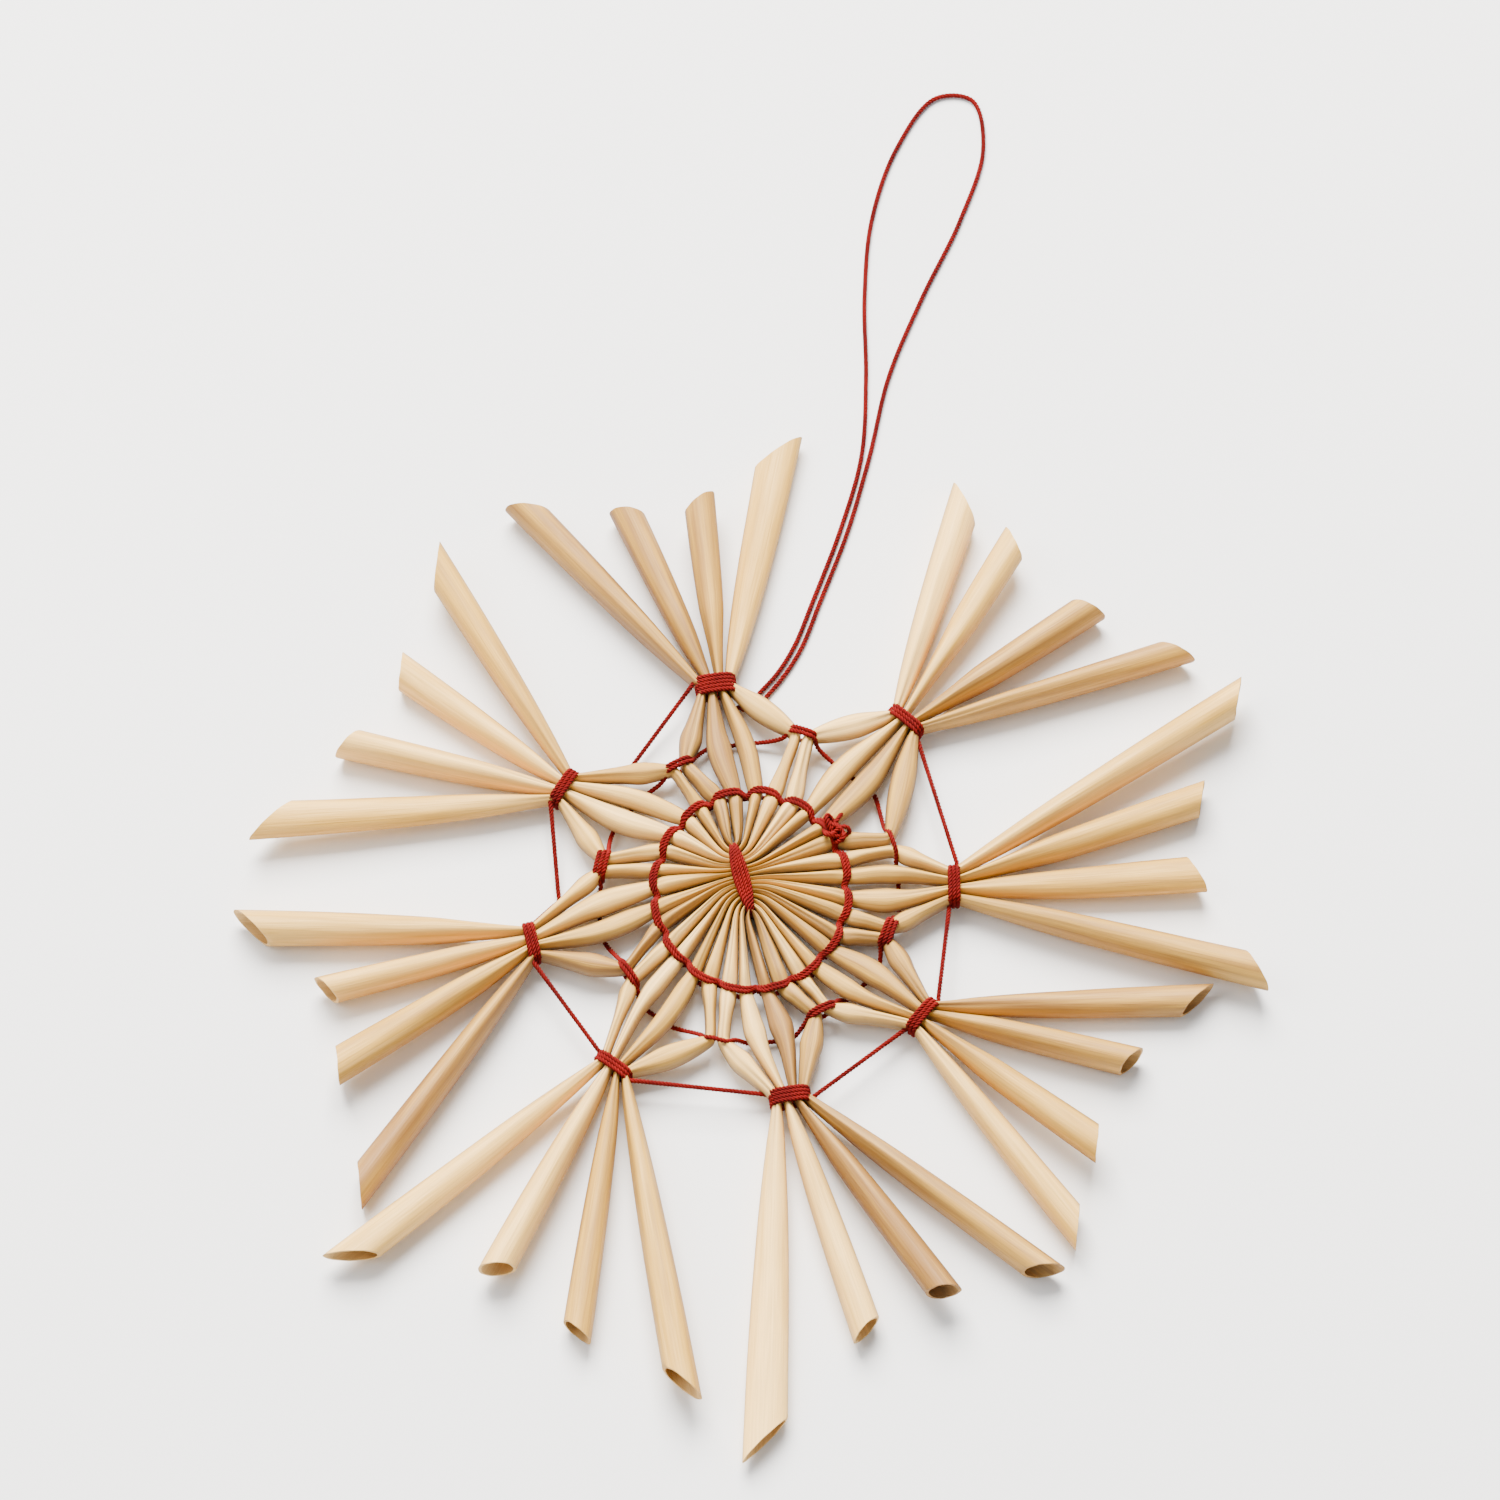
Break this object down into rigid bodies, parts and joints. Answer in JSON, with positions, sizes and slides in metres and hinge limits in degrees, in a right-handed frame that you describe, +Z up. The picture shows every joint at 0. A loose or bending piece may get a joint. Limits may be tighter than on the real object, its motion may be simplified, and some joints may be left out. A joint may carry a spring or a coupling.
{
  "type": "straw star ornament",
  "caption": "Flat hanging star of whole straws bound in the middle, fanned out and tied with red thread into groups, with a thread loop.",
  "frame": {"origin": "centre of the star's outline, on the surface that the star lies on", "axes": "+Z up out of the star's plane; +Y towards the fan that the hanging loop leaves"},
  "size_m": [0.0932, 0.1346, 0.0048],
  "materials": {
    "straw": "natural dried straw, satin, fine lengthwise grain, pale cream to golden",
    "thread": "matte twisted red cotton thread"
  },
  "bodies": {
    "root": {"straw_01": "straw", "straw_02": "straw", "straw_03": "straw", "straw_04": "straw", "straw_05": "straw", "straw_06": "straw", "straw_07": "straw", "straw_08": "straw", "straw_09": "straw", "straw_10": "straw", "straw_11": "straw", "straw_12": "straw", "straw_13": "straw", "straw_14": "straw", "straw_15": "straw", "straw_16": "straw", "centre_binding": "thread", "inner_ring_thread": "thread", "middle_ring_thread": "thread", "outer_ring_thread": "thread", "hanging_loop": "thread"}
  },
  "joints": []
}
